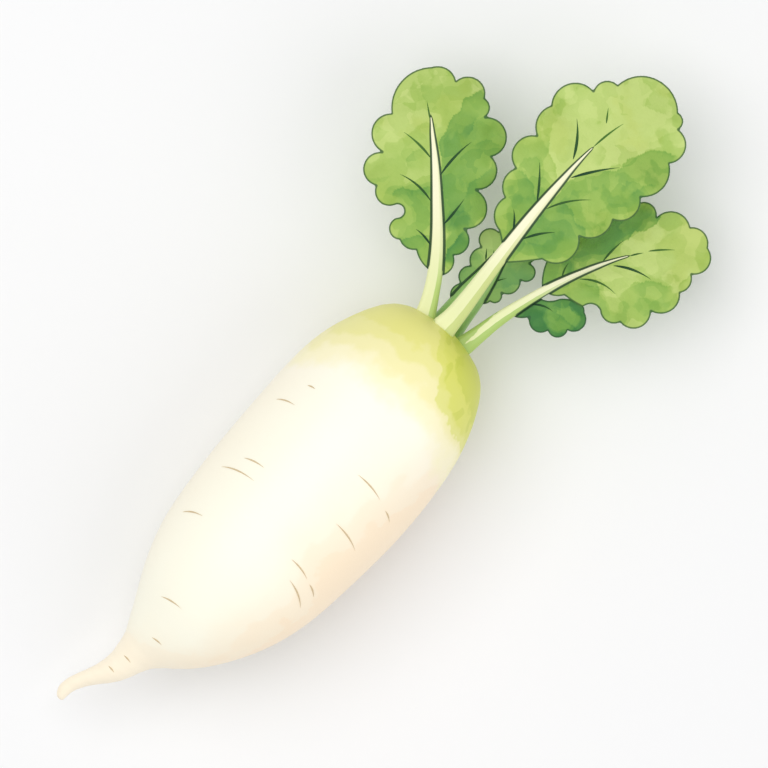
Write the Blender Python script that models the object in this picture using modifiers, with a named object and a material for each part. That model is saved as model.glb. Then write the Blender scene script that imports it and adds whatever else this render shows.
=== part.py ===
"""A stout white radish with four lobed leaves, picked and lying on its side.

The long axis of the root runs along X, with the crown and its leaves towards +X and the thin tail towards -X.
Z points up. The origin is the middle of the small flat spot that the root rests on. Lengths are in metres.
"""

import math

import bmesh
import bpy
import numpy as np
from mathutils.geometry import delaunay_2d_cdt

# Root. Its profile runs from the tip of the tail to the top of the crown, as (along X, radius).
ROOT_AXIS_HEIGHT = 0.0464
ROOT_PROFILE = (
    (-0.1656, 0.0), (-0.1650, 0.0018), (-0.1625, 0.0029), (-0.1570, 0.0037), (-0.1490, 0.0049),
    (-0.1410, 0.0066), (-0.1330, 0.0077), (-0.1270, 0.0091), (-0.1210, 0.0121), (-0.1150, 0.0172),
    (-0.1080, 0.0224), (-0.0980, 0.0286), (-0.0850, 0.0351), (-0.0650, 0.0418), (-0.0400, 0.0451),
    (-0.0150, 0.0470), (0.0050, 0.0474), (0.0250, 0.0471), (0.0450, 0.0448), (0.0600, 0.0405),
    (0.0720, 0.0348), (0.0800, 0.0290), (0.0850, 0.0219), (0.0878, 0.0130), (0.0893, 0.0055), (0.0898, 0.0),
)
# How far the middle of the root strays from a straight axis, as (along X, towards +Y, upwards)
ROOT_SWAY = (
    (-0.1656, 0.0210, -0.0150), (-0.1610, 0.0220, -0.0142), (-0.1560, 0.0210, -0.0130),
    (-0.1490, 0.0173, -0.0110), (-0.1410, 0.0122, -0.0088), (-0.1330, 0.0094, -0.0068),
    (-0.1250, 0.0078, -0.0050), (-0.1170, 0.0045, -0.0036), (-0.1090, 0.0024, -0.0024),
    (-0.0900, 0.0010, -0.0008), (-0.0650, 0.0, 0.0), (0.0, -0.0007, 0.0), (0.0500, 0.0006, 0.0),
    (0.0898, 0.0009, 0.0),
)
ROOT_SIDES = 40
ROOT_ROWS_PER_STATION = 2

# Leaves. Each has its own frame on the crown: its first axis points along the leaf, the second to its left.
JOINT_GAP = 0.0003
STALK_BURIED = 0.006
STALK_ROWS = 26
STALK_SECTION_SIDES = 14
STALK_TOP_HEIGHT = 0.55  # of the stalk's half width, over its widest line
STALK_BELLY_DEPTH = 0.80
BLADE_THICKNESS = 0.0009
MARGIN_STEP = 0.0032
GRID_STEP = 0.0068
GRID_CLEARANCE = 0.6  # of the grid's step, from the margin
FOLD_SLOPE = 0.22  # the blade rises from its midrib
MARGIN_DROOP = 5.0  # and bends down again with the square of the distance
RIPPLE_REACH = 0.026  # from the midrib to where the ripple has its full height
LEFT_RIPPLE_PHASE = 2.1
RIGHT, LEFT = -1, 1

# Margins of the blades in their leaf's frame. Points are crown and notch of each lobe by turns, from the
# right side of the midrib round the tip to the left. A lobe is an arc from notch to notch over its crown.
LEFT_BLADE_MARGIN = (
    (0.0245, -0.0133), (0.0283, -0.0130), (0.0332, -0.0200), (0.0408, -0.0179), (0.0495, -0.0284),
    (0.0594, -0.0230), (0.0672, -0.0326), (0.0752, -0.0298), (0.0849, -0.0370), (0.0939, -0.0265),
    (0.0990, -0.0286), (0.1029, -0.0261), (0.1121, -0.0228), (0.1112, -0.0124), (0.1168, -0.0086),
    (0.1178, -0.0010), (0.1100, 0.0140), (0.0949, 0.0179), (0.0885, 0.0267), (0.0765, 0.0220),
    (0.0680, 0.0308), (0.0603, 0.0245), (0.0527, 0.0228), (0.0515, 0.0153), (0.0492, 0.0110),
    (0.0456, 0.0143), (0.0410, 0.0180), (0.0351, 0.0128), (0.0320, 0.0106), (0.0305, 0.0049),
    (0.0262, 0.0032),
)
MIDDLE_BLADE_MARGIN = (
    (0.0455, -0.0052), (0.0540, -0.0127), (0.0636, -0.0226), (0.0736, -0.0185), (0.0811, -0.0261),
    (0.0902, -0.0252), (0.0981, -0.0312), (0.1067, -0.0276), (0.1184, -0.0327), (0.1281, -0.0272),
    (0.1379, -0.0286), (0.1430, -0.0196), (0.1477, -0.0185), (0.1490, -0.0142), (0.1541, 0.0046),
    (0.1394, 0.0159), (0.1375, 0.0209), (0.1294, 0.0225), (0.1244, 0.0334), (0.1109, 0.0327),
    (0.1044, 0.0342), (0.0955, 0.0282), (0.0882, 0.0331), (0.0775, 0.0254), (0.0704, 0.0263),
    (0.0638, 0.0201), (0.0552, 0.0190), (0.0506, 0.0117), (0.0488, 0.0090),
)
RIGHT_BLADE_MARGIN = (
    (0.0485, 0.0052), (0.0525, 0.0040), (0.0552, -0.0004), (0.0586, -0.0046), (0.0627, -0.0047),
    (0.0653, -0.0091), (0.0665, -0.0155), (0.0720, -0.0178), (0.0791, -0.0237), (0.0878, -0.0186),
    (0.0975, -0.0218), (0.1039, -0.0157), (0.1102, -0.0141), (0.1125, -0.0097), (0.1227, -0.0085),
    (0.1248, -0.0009), (0.1253, 0.0079), (0.1206, 0.0114), (0.1179, 0.0199), (0.1074, 0.0219),
    (0.1075, 0.0283), (0.1018, 0.0314), (0.0922, 0.0337), (0.0845, 0.0299), (0.0745, 0.0317),
    (0.0659, 0.0276), (0.0559, 0.0275), (0.0505, 0.0220), (0.0468, 0.0174),
)
RIGHT_LEAFLET_MARGIN = (
    (0.0291, 0.0019), (0.0332, 0.0007), (0.0327, -0.0059), (0.0388, -0.0086), (0.0424, -0.0136),
    (0.0477, -0.0120), (0.0546, -0.0138), (0.0583, -0.0070), (0.0590, -0.0050), (0.0575, -0.0015),
    (0.0540, 0.0015), (0.0495, 0.0035), (0.0450, 0.0043),
)
INNER_BLADE_MARGIN = (
    (0.0210, -0.0080), (0.0228, -0.0088), (0.0256, -0.0123), (0.0295, -0.0106), (0.0350, -0.0156),
    (0.0398, -0.0139), (0.0474, -0.0170), (0.0488, -0.0123), (0.0578, -0.0118), (0.0620, -0.0049),
    (0.0656, 0.0028), (0.0597, 0.0079), (0.0563, 0.0100), (0.0516, 0.0087), (0.0496, 0.0138),
    (0.0405, 0.0108), (0.0354, 0.0126), (0.0305, 0.0093), (0.0259, 0.0117), (0.0210, 0.0078),
    (0.0166, 0.0095),
)

# The midrib is (along, across, half width), rise is (along, upwards) and ripple is (height, length, phase).
# A blade has how far it lies below the midrib's rise, where its margin leaves and meets the midrib, and
# the margin itself.
LEAVES = {
    "left": {
        "foot": (0.0872, 0.0137, 0.0500),
        "heading": math.radians(40.8),
        "midrib": (
            (0.0, 0.0, 0.0050), (0.0060, -0.0017, 0.0043), (0.0120, -0.0030, 0.0039),
            (0.0180, -0.0041, 0.0037), (0.0260, -0.0048, 0.0034), (0.0380, -0.0051, 0.0030),
            (0.0550, -0.0044, 0.0025), (0.0740, -0.0031, 0.0018), (0.0850, -0.0018, 0.0011),
            (0.0957, -0.0004, 0.0006), (0.1030, 0.0017, 0.0004), (0.1220, 0.0030, 0.0002),
        ),
        "midrib_end": 0.0900,
        "rise": (
            (0.0, 0.0), (0.0400, 0.0080), (0.0750, 0.0100), (0.1000, 0.0050), (0.1220, -0.0050),
        ),
        "ripple": (0.003, 0.031, 0.4),
        "blades": {
            "blade": (0, (0.0185, RIGHT), (0.0205, LEFT), LEFT_BLADE_MARGIN),
        },
    },
    "middle": {
        "foot": (0.0893, 0.0028, 0.0560),
        "heading": 0.0,
        "midrib": (
            (0.0, 0.0002, 0.0057), (0.0060, 0.0, 0.0050), (0.0120, 0.0003, 0.0047),
            (0.0200, 0.0009, 0.0043), (0.0300, 0.0018, 0.0039), (0.0455, 0.0031, 0.0033),
            (0.0675, 0.0046, 0.0026), (0.0873, 0.0052, 0.0017), (0.0980, 0.0053, 0.0010),
            (0.1110, 0.0046, 0.0006), (0.1310, 0.0006, 0.0004), (0.1560, 0.0, 0.0002),
        ),
        "midrib_end": 0.0980,
        "rise": (
            (0.0, 0.0), (0.0450, 0.0110), (0.0900, 0.0140), (0.1250, 0.0080), (0.1560, -0.0040),
        ),
        "ripple": (0.0032, 0.036, 1.2),
        "blades": {
            "blade": (0, (0.0396, RIGHT), (0.0454, LEFT), MIDDLE_BLADE_MARGIN),
        },
    },
    "right": {
        "foot": (0.0893, -0.0100, 0.0450),
        "heading": math.radians(-25.8),
        "midrib": (
            (0.0, 0.0, 0.0048), (0.0060, 0.0016, 0.0043), (0.0120, 0.0033, 0.0039),
            (0.0180, 0.0049, 0.0035), (0.0240, 0.0062, 0.0032), (0.0300, 0.0073, 0.0029),
            (0.0360, 0.0083, 0.0026), (0.0435, 0.0094, 0.0024), (0.0540, 0.0105, 0.0019),
            (0.0638, 0.0109, 0.0015), (0.0720, 0.0109, 0.0012), (0.0792, 0.0106, 0.0009),
            (0.0895, 0.0095, 0.0005), (0.1127, 0.0033, 0.0003), (0.1270, 0.0010, 0.0002),
        ),
        "midrib_end": 0.0765,
        "rise": (
            (0.0, 0.0), (0.0400, 0.0040), (0.0750, 0.0040), (0.1000, 0.0), (0.1270, -0.0090),
        ),
        "ripple": (0.0028, 0.03, 0),
        "blades": {
            "blade": (0, (0.0450, RIGHT), (0.0437, LEFT), RIGHT_BLADE_MARGIN),
            "leaflet": (0.0018, (0.0254, RIGHT), (0.0410, RIGHT), RIGHT_LEAFLET_MARGIN),
        },
    },
    "inner": {
        "foot": (0.0893, 0.0022, 0.0360),
        "heading": math.radians(3.6),
        "midrib": (
            (0.0, 0.0, 0.0082), (0.0100, 0.0, 0.0075), (0.0200, 0.0, 0.0069),
            (0.0300, 0.0, 0.0054), (0.0457, 0.0005, 0.0026), (0.0580, 0.0, 0.0009),
            (0.0670, 0.0, 0.0002),
        ),
        "midrib_end": 0.0540,
        "rise": (
            (0.0, 0.0), (0.0300, 0.0040), (0.0500, 0.0040), (0.0670, 0.0),
        ),
        "ripple": (0.0018, 0.022, 0.8),
        "blades": {
            "blade": (0, (0.0190, RIGHT), (0.0115, LEFT), INNER_BLADE_MARGIN),
        },
    },
}

ROOT_COLOUR = (0.93, 0.90, 0.76, 1.0)
STALK_COLOUR = (0.78, 0.80, 0.45, 1.0)
BLADE_COLOURS = {
    "leaf_left_blade": (0.28, 0.45, 0.12, 1.0),
    "leaf_middle_blade": (0.33, 0.50, 0.16, 1.0),
    "leaf_right_blade": (0.26, 0.44, 0.12, 1.0),
    "leaf_right_leaflet": (0.09, 0.28, 0.07, 1.0),
    "leaf_inner_blade": (0.10, 0.29, 0.08, 1.0),
}


def smooth(knots, columns, at):
    """Columns of values at the places asked for, on a cubic curve through the values at the knots."""
    knots = np.asarray(knots, float)
    columns = np.asarray(columns, float)
    slopes = np.gradient(columns, knots, axis=0)
    low = np.clip(np.searchsorted(knots, at, side="right") - 1, 0, len(knots) - 2)
    span = (knots[low + 1] - knots[low])[:, None]
    t = np.clip((np.asarray(at)[:, None] - knots[low][:, None]) / span, 0.0, 1.0)
    rise = columns[low + 1] - columns[low]
    bend = (slopes[low] * (1 - t) - slopes[low + 1] * t) * span + rise * (2 * t - 1)
    return columns[low] + rise * t + bend * t * (1 - t)


def table_values(table, at):
    """Values of a table, whose first column says where, at the places asked for."""
    table = np.asarray(table, float)
    return smooth(table[:, 0], table[:, 1:], np.asarray(at, float))


def new_material(name, colour, roughness):
    material = bpy.data.materials.new(name)
    material.use_nodes = True
    shader = material.node_tree.nodes["Principled BSDF"]
    shader.inputs["Base Color"].default_value = colour
    shader.inputs["Roughness"].default_value = roughness
    return material


def new_object(name, mesh, collection, material=None):
    obj = bpy.data.objects.new(name, mesh)
    collection.objects.link(obj)
    if material:
        mesh.materials.append(material)
    return obj


def solid_copy(obj, name, collection):
    """A mesh object made from the evaluated object, which it takes the place of."""
    graph = bpy.context.evaluated_depsgraph_get()
    mesh = bpy.data.meshes.new_from_object(obj.evaluated_get(graph))
    copy = new_object(name, mesh, collection)
    copy.matrix_world = obj.matrix_world
    bpy.data.objects.remove(obj)
    return copy


def shade_round(mesh):
    mesh.shade_smooth()
    mesh.set_sharp_from_angle(angle=math.radians(40))


def root_body(name, collection, swell):
    """The turned root, swayed off its axis, with the flat spot cut. A swell moves its whole skin outwards."""
    profile = np.array(ROOT_PROFILE)
    knots = np.concatenate([[0.0], np.cumsum(np.hypot(*np.diff(profile, axis=0).T))])
    rows = np.interp(
        np.arange((len(knots) - 1) * ROOT_ROWS_PER_STATION + 1) / ROOT_ROWS_PER_STATION,
        np.arange(len(knots)), knots,
    )
    points = smooth(knots, profile, rows)
    outline = bpy.data.meshes.new(name)
    edges = [(row, row + 1) for row in range(len(points) - 1)]
    outline.from_pydata([(x, max(radius, 0.0), 0.0) for x, radius in points], edges, [])
    turned = new_object(name + "_outline", outline, collection)
    screw = turned.modifiers.new("Turn", "SCREW")
    screw.axis = "X"
    screw.steps = screw.render_steps = ROOT_SIDES
    screw.use_merge_vertices = True
    screw.merge_threshold = 1e-5
    root = solid_copy(turned, name, collection)

    shape = bmesh.new()
    shape.from_mesh(root.data)
    bmesh.ops.remove_doubles(shape, verts=shape.verts, dist=1e-6)
    bmesh.ops.recalc_face_normals(shape, faces=shape.faces)
    shape.normal_update()
    sway = table_values(ROOT_SWAY, [vert.co.x for vert in shape.verts])
    for vert, (sideways, upwards) in zip(shape.verts, sway):
        vert.co += vert.normal * swell
        vert.co.y += sideways
        vert.co.z += ROOT_AXIS_HEIGHT + upwards
    whole = shape.verts[:] + shape.edges[:] + shape.faces[:]
    bmesh.ops.bisect_plane(shape, geom=whole, plane_co=(0, 0, -swell), plane_no=(0, 0, -1), clear_outer=True)
    bmesh.ops.holes_fill(shape, edges=[edge for edge in shape.edges if edge.is_boundary])
    bmesh.ops.recalc_face_normals(shape, faces=shape.faces)
    shape.to_mesh(root.data)
    shape.free()
    shade_round(root.data)
    return root


def leaf_frame(name, leaf, collection):
    """An empty on the crown, turned to point along the leaf, which carries the leaf's pieces."""
    frame = bpy.data.objects.new("leaf_" + name, None)
    frame.empty_display_size = 0.02
    frame.location = leaf["foot"]
    frame.rotation_euler.z = leaf["heading"]
    collection.objects.link(frame)
    return frame


def stalk_section(collection):
    """The stalk's cross section for a half width of 1: flat and slightly hollow on top, round below."""
    curve = bpy.data.curves.new("stalk_section", "CURVE")
    curve.dimensions = "2D"
    spline = curve.splines.new("POLY")
    spline.points.add(STALK_SECTION_SIDES - 1)
    spline.use_cyclic_u = True
    for index, point in enumerate(spline.points):
        angle = 2 * math.pi * index / STALK_SECTION_SIDES
        across, up = math.cos(angle), math.sin(angle)
        height = STALK_TOP_HEIGHT * up ** 0.6 if up > 0 else STALK_BELLY_DEPTH * up
        point.co = (across, height, 0.0, 1.0)
    section = bpy.data.objects.new("stalk_section", curve)
    section.hide_render = True
    collection.objects.link(section)
    return section


def leaf_stalk(name, leaf, frame, section, root_clearance, collection, material):
    """The stalk and midrib: the section swept along the leaf, narrowing to its tip, cut to fit the crown."""
    along = np.linspace(0.0, leaf["midrib_end"], STALK_ROWS)
    midrib = table_values(leaf["midrib"], along)
    rise = table_values(leaf["rise"], along)
    curve = bpy.data.curves.new("leaf_stalk", "CURVE")
    curve.dimensions = "3D"
    curve.twist_mode = "Z_UP"
    curve.bevel_mode = "OBJECT"
    curve.bevel_object = section
    curve.use_fill_caps = True
    spline = curve.splines.new("POLY")
    spline.points.add(STALK_ROWS)
    first_slope = (midrib[1, 0] - midrib[0, 0]) / along[1]
    spline.points[0].co = (-STALK_BURIED, -STALK_BURIED * first_slope, 0.0, 1.0)
    spline.points[0].radius = midrib[0, 1]
    for point, distance, (across, half_width), (up,) in zip(spline.points[1:], along, midrib, rise):
        point.co = (distance, across, up, 1.0)
        point.radius = half_width
    guide = bpy.data.objects.new("leaf_stalk_guide", curve)
    collection.objects.link(guide)

    stalk = solid_copy(guide, f"leaf_{name}_stalk", collection)
    shape = bmesh.new()
    shape.from_mesh(stalk.data)
    bmesh.ops.remove_doubles(shape, verts=shape.verts, dist=1e-6)
    bmesh.ops.recalc_face_normals(shape, faces=shape.faces)
    shape.to_mesh(stalk.data)
    shape.free()
    stalk.data.materials.append(material)
    stalk.parent = frame
    foot_cut = stalk.modifiers.new("Fit to crown", "BOOLEAN")
    foot_cut.object = root_clearance
    foot_cut.operation = "DIFFERENCE"
    shade_round(stalk.data)
    return stalk


def arc_points(start, middle, end, step):
    """Points of the circle arc from start, over middle, up to but without end."""
    (ax, ay), (bx, by), (cx, cy) = start, middle, end
    twice_area = 2 * (ax * (by - cy) + bx * (cy - ay) + cx * (ay - by))
    squares = ax * ax + ay * ay, bx * bx + by * by, cx * cx + cy * cy
    x = (squares[0] * (by - cy) + squares[1] * (cy - ay) + squares[2] * (ay - by)) / twice_area
    y = (squares[0] * (cx - bx) + squares[1] * (ax - cx) + squares[2] * (bx - ax)) / twice_area
    radius = math.hypot(ax - x, ay - y)
    first, over, last = (math.atan2(py - y, px - x) for px, py in (start, middle, end))
    turn = (last - first) % (2 * math.pi)
    if (over - first) % (2 * math.pi) > turn:
        turn -= 2 * math.pi
    count = max(2, round(abs(turn) * radius / step))
    angles = first + turn * np.arange(count) / count
    return [(x + radius * math.cos(angle), y + radius * math.sin(angle)) for angle in angles]


def midrib_side(leaf, start, end, side, step):
    """Points beside the midrib, a joint gap away from it, from start to end along the leaf."""
    count = max(2, round(abs(end - start) / step) + 1)
    along = np.linspace(start, end, count)
    midrib = table_values(leaf["midrib"], along)
    across = midrib[:, 0] + side * (midrib[:, 1] + JOINT_GAP)
    return list(zip(along, across))


def blade_outline(leaf, blade):
    """The closed outline: lobe arcs from one side of the midrib to the other, then back along the midrib."""
    _, (start, start_side), (end, end_side), margin = blade
    first = midrib_side(leaf, start, start, start_side, MARGIN_STEP)[0]
    last = midrib_side(leaf, end, end, end_side, MARGIN_STEP)[0]
    corners = [first, *margin, last]
    outline = []
    for index in range(0, len(corners) - 2, 2):
        outline += arc_points(*corners[index:index + 3], MARGIN_STEP)
    if start_side == end_side:
        return outline + midrib_side(leaf, end, start, start_side, MARGIN_STEP)[:-1]
    tip = leaf["midrib_end"] + JOINT_GAP
    outline += midrib_side(leaf, end, tip, end_side, MARGIN_STEP)
    return outline + midrib_side(leaf, tip, start, start_side, MARGIN_STEP)[:-1]


def points_inside(outline, step, clearance):
    """Points of a triangular grid inside the outline, that far or more from it."""
    outline = np.array(outline)
    low, high = outline.min(axis=0), outline.max(axis=0)
    rows = np.arange(low[1], high[1], step * math.sqrt(3) / 2)
    columns = np.arange(low[0], high[0], step)
    grid = np.array([(x + step / 2 * (row % 2), y) for row, y in enumerate(rows) for x in columns])
    start, along = outline, np.roll(outline, -1, axis=0) - outline
    offset = grid[:, None] - start
    t = np.clip((offset * along).sum(axis=2) / (along * along).sum(axis=1), 0, 1)
    distance = np.linalg.norm(offset - t[..., None] * along, axis=2).min(axis=1)
    above = start[:, 1] > grid[:, None, 1]
    crosses = above != np.roll(above, -1, axis=1)
    level = np.where(along[:, 1] == 0, 1.0, along[:, 1])
    meets = start[:, 0] + (grid[:, None, 1] - start[:, 1]) / level * along[:, 0]
    within = (crosses & (grid[:, None, 0] < meets)).sum(axis=1) % 2 == 1
    return grid[within & (distance > clearance)]


def blade_height(leaf, along, across):
    """Height of the blade over the leaf's foot: the midrib's rise, a shallow fold and a rippled margin."""
    reach = np.clip(along, leaf["midrib"][0][0], leaf["midrib"][-1][0])
    middle = table_values(leaf["midrib"], reach)[:, 0]
    rise = table_values(leaf["rise"], reach)[:, 0]
    offset = across - middle
    distance = np.abs(offset)
    height, length, phase = leaf["ripple"]
    turn = 2 * math.pi * along / length + phase + np.where(offset > 0, LEFT_RIPPLE_PHASE, 0.0)
    ripple = height * np.sin(turn) * np.clip(distance / RIPPLE_REACH, 0, 1) ** 1.5
    return rise + FOLD_SLOPE * distance - MARGIN_DROOP * distance ** 2 + ripple


def leaf_blade(name, leaf, blade, frame, collection, material):
    """A lobed blade of even thickness, as one sheet that is open along the midrib."""
    outline = blade_outline(leaf, blade)
    inside = points_inside(outline, GRID_STEP, GRID_STEP * GRID_CLEARANCE)
    flat = [tuple(point) for point in outline] + [tuple(point) for point in inside]
    points, _, faces = delaunay_2d_cdt(flat, [], [list(range(len(outline)))], 1, 1e-7)[:3]
    along, across = np.array([tuple(point) for point in points]).T
    lowered = blade[0]
    height = blade_height(leaf, along, across) - lowered
    mesh = bpy.data.meshes.new(name)
    mesh.from_pydata(list(zip(along, across, height)), [], [face[:] for face in faces])
    sheet = new_object(name, mesh, collection, material)
    sheet.parent = frame
    wall = sheet.modifiers.new("Thickness", "SOLIDIFY")
    wall.thickness = BLADE_THICKNESS
    wall.offset = 0.0
    mesh.shade_smooth()
    return sheet


def build():
    for obj in list(bpy.data.objects):
        bpy.data.objects.remove(obj)
    parts = bpy.data.collections.new("radish")
    cutters = bpy.data.collections.new("cutters")
    bpy.context.scene.collection.children.link(parts)
    bpy.context.scene.collection.children.link(cutters)

    root = root_body("root", parts, 0.0)
    root.data.materials.append(new_material("root_skin", ROOT_COLOUR, 0.45))
    clearance = root_body("root_clearance", cutters, JOINT_GAP)
    clearance.hide_render = True
    clearance.display_type = "WIRE"

    section = stalk_section(cutters)
    stalk_material = new_material("stalk_skin", STALK_COLOUR, 0.45)
    for name, leaf in LEAVES.items():
        frame = leaf_frame(name, leaf, parts)
        leaf_stalk(name, leaf, frame, section, clearance, parts, stalk_material)
        for piece, blade in leaf["blades"].items():
            node = f"leaf_{name}_{piece}"
            material = new_material(node + "_skin", BLADE_COLOURS[node], 0.5)
            leaf_blade(node, leaf, blade, frame, parts, material)
    bpy.data.objects.remove(section)


build()
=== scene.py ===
import math

import bmesh
import bpy
import numpy as np
from mathutils import Matrix, Vector, noise
from mathutils.kdtree import KDTree


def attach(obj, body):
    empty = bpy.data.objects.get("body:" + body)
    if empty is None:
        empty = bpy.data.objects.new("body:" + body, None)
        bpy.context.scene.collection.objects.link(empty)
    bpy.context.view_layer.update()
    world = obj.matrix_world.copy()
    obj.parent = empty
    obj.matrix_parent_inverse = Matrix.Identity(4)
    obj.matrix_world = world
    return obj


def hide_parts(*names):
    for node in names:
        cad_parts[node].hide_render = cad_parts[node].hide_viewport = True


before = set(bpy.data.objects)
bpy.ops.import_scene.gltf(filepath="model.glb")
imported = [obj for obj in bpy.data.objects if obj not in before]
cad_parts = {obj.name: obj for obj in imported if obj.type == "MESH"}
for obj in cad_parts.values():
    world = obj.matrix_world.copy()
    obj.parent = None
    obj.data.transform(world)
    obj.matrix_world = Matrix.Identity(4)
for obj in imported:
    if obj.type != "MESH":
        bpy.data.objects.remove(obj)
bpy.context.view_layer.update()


# Camera
# The radish lies on its side, and the camera looks straight down on it through a long lens. The picture is
# turned so that the root runs from the lower left to the upper right.
PICTURE_TURN = math.radians(48.0)
PICTURE_CENTRE = (0.0498, 0.0062)
PICTURE_WIDTH = 0.3648
WIDEST_HEIGHT = 0.046
LENS_MM = 300.0
SENSOR_MM = 36.0
CAMERA_REACH = 60.0

camera_height = WIDEST_HEIGHT + PICTURE_WIDTH * LENS_MM / SENSOR_MM
bpy.ops.object.camera_add(location=(*PICTURE_CENTRE, camera_height), rotation=(0.0, 0.0, -PICTURE_TURN))
camera = bpy.context.object
camera.name = "camera"
camera.data.lens = LENS_MM
camera.data.sensor_width = SENSOR_MM
camera.data.clip_end = CAMERA_REACH
bpy.context.scene.camera = camera


# Root
# The swollen root with its green shoulder and thin curled tail, which grew as one piece. It is drawn out ring
# by ring from the tip of the tail to the crown, smoothed, and then given broad dents and faint furrows.
ROOT_AXIS_HEIGHT = 0.0464
ROOT_PROFILE = np.array((  # along X and radius, in millimetres
    (-165.6, 0.4), (-165, 1.8), (-162.5, 2.9), (-157, 3.7), (-149, 4.9), (-141, 6.6), (-133, 7.7),
    (-127, 9.1), (-121, 12.1), (-115, 17.2), (-108, 22.4), (-98, 28.6), (-85, 35.1),
    (-65, 41.8), (-40, 45.1), (-15, 47), (5, 47.4), (25, 47.1), (45, 44.8), (60, 40.5),
    (72, 34.8), (80, 29), (85, 21.9), (87.8, 13), (89.3, 5.5), (89.8, 0.6),
)) / 1000
ROOT_SWAY = np.array((  # along X, and how far the ring's middle strays towards +Y and upwards
    (-165.6, 21, -15), (-161, 22, -14.2), (-156, 21, -13), (-149, 17.3, -11),
    (-141, 12.2, -8.8), (-133, 9.4, -6.8), (-125, 7.8, -5), (-117, 4.5, -3.6),
    (-109, 2.4, -2.4), (-90, 1, -0.8), (-65, 0, 0), (0, -0.7, 0), (50, 0.6, 0),
    (89.8, 0.9, 0),
)) / 1000
ROOT_SIDES = 64
RINGS_PER_ROW = 2
DENT_SIZE = 0.030
DENT_DEPTH = 0.0005
FURROW_SPACING = 0.0052
FURROW_DEPTH = 0.00012
FURROW_WANDER = 0.8  # in spacings
FURROW_WANDER_SIZE = 0.022
FURROW_PATCH_SIZE = 0.024
FURROW_PATCH_SHIFT = Vector((9.0, 3.0, 5.0))
TAIL_START = -0.085
TAIL_FADE = 0.04
TAIL_FURROWS = 0.4
UNDERSIDE_FADE = 0.012  # the swell fades out towards what the root lies on, and towards its tip
TIP_FADE = 0.006
SKIN_BLOTS = ((0.045, 2.0, 0.5), (0.017, 3.0, 0.55), (0.007, 2.0, 0.5))  # size, detail, roughness
SKIN_WHITE = "FCF9E7"
# The peach of the tail's own tint, which is also painted as shade on the root's sides.
PEACH_TINT_AND_SHADE = "FDE8CA"
CROWN_DEEP = "C8CF4A"
# Layers over the white: the measures in millimetres at which each starts and is full, its cover, its colour.
# The side layer is painted shade: a faint peach near the +Y edge, where the skin turns down.
EDGE_SHADE_LAYERS = ((26.0, 46.0, 0.22, PEACH_TINT_AND_SHADE),)
TAIL_LAYERS = ((88.0, 140.0, 0.40, PEACH_TINT_AND_SHADE), (112.0, 117.0, 0.18, PEACH_TINT_AND_SHADE))
SHOULDER_LAYERS = (
    (41.0, 54.0, 1.0, "FAF3CA"), (54.0, 60.0, 1.0, "F4EDB2"), (63.0, 67.0, 0.6, "E8E488"),
    (71.0, 74.0, 1.0, "E8E488"),
)
CROWN_LAYERS = ((-0.7, 0.9, 0.60, "D8DB5E"), (4.3, 5.9, 0.55, "D8DB5E"), (12.3, 13.9, 0.65, CROWN_DEEP))


def through(table, at):
    """Values of a table, whose first column says where, on a smooth curve through its rows."""
    table = np.asarray(table, float)
    knots, columns = table[:, 0], table[:, 1:]
    slopes = np.gradient(columns, knots, axis=0)
    at = np.clip(np.atleast_1d(np.asarray(at, float)), knots[0], knots[-1])
    low = np.clip(np.searchsorted(knots, at, side="right") - 1, 0, len(knots) - 2)
    span = (knots[low + 1] - knots[low])[:, None]
    t = (at[:, None] - knots[low][:, None]) / span
    rise = columns[low + 1] - columns[low]
    bend = (slopes[low] * (1 - t) - slopes[low + 1] * t) * span + rise * (2 * t - 1)
    return columns[low] + rise * t + bend * t * (1 - t)


def turned_outwards():
    """Turns the faces of the active piece outwards."""
    bpy.ops.object.mode_set(mode="EDIT")
    bpy.ops.mesh.select_all(action="SELECT")
    bpy.ops.mesh.normals_make_consistent(inside=False)
    bpy.ops.object.mode_set(mode="OBJECT")


def drawn_out(name, sides, rings, section=None):
    """A closed tube drawn out along X. A ring is its middle, its half width and its half height."""
    bpy.ops.object.select_all(action="DESELECT")
    middle, half_width, half_height = Vector(rings[0][:3]), rings[0][3], rings[0][4]
    bpy.ops.mesh.primitive_circle_add(
        vertices=sides, radius=1.0, fill_type="TRIFAN", location=middle, rotation=(0.0, math.pi / 2, 0.0)
    )
    tube = bpy.context.object
    tube.name = name
    bpy.ops.object.transform_apply(location=True, rotation=True, scale=True)
    for vertex in tube.data.vertices:
        across, up = (vertex.co - middle).yz
        if section:
            across, up = section(across, up)
        vertex.co = middle + Vector((0.0, across * half_width, up * half_height))
    bpy.ops.object.mode_set(mode="EDIT")
    bpy.ops.mesh.select_all(action="SELECT")
    for x, y, z, next_width, next_height in rings[1:]:
        centre = Vector((x, y, z))
        bpy.ops.mesh.extrude_region_move(TRANSFORM_OT_translate={"value": centre - middle})
        stretch = (1.0, next_width / half_width, next_height / half_height)
        bpy.ops.transform.resize(value=stretch, center_override=centre)
        middle, half_width, half_height = centre, next_width, next_height
    turned_outwards()
    return tube


def refined(piece, kind, **settings):
    """Adds a modifier to the piece and applies it."""
    bpy.ops.object.select_all(action="DESELECT")
    piece.select_set(True)
    bpy.context.view_layer.objects.active = piece
    modifier = piece.modifiers.new(kind.title(), kind)
    for setting, value in settings.items():
        setattr(modifier, setting, value)
    bpy.ops.object.modifier_apply(modifier=modifier.name)


def smoothed(piece, levels):
    refined(piece, "SUBSURF", levels=levels, render_levels=levels)
    bpy.ops.object.shade_smooth()


def paint(code):
    """A colour as light, from its six-figure code."""
    parts = [int(code[start:start + 2], 16) / 255 for start in (0, 2, 4)]
    return (*[((part + 0.055) / 1.055) ** 2.4 for part in parts], 1.0)


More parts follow.
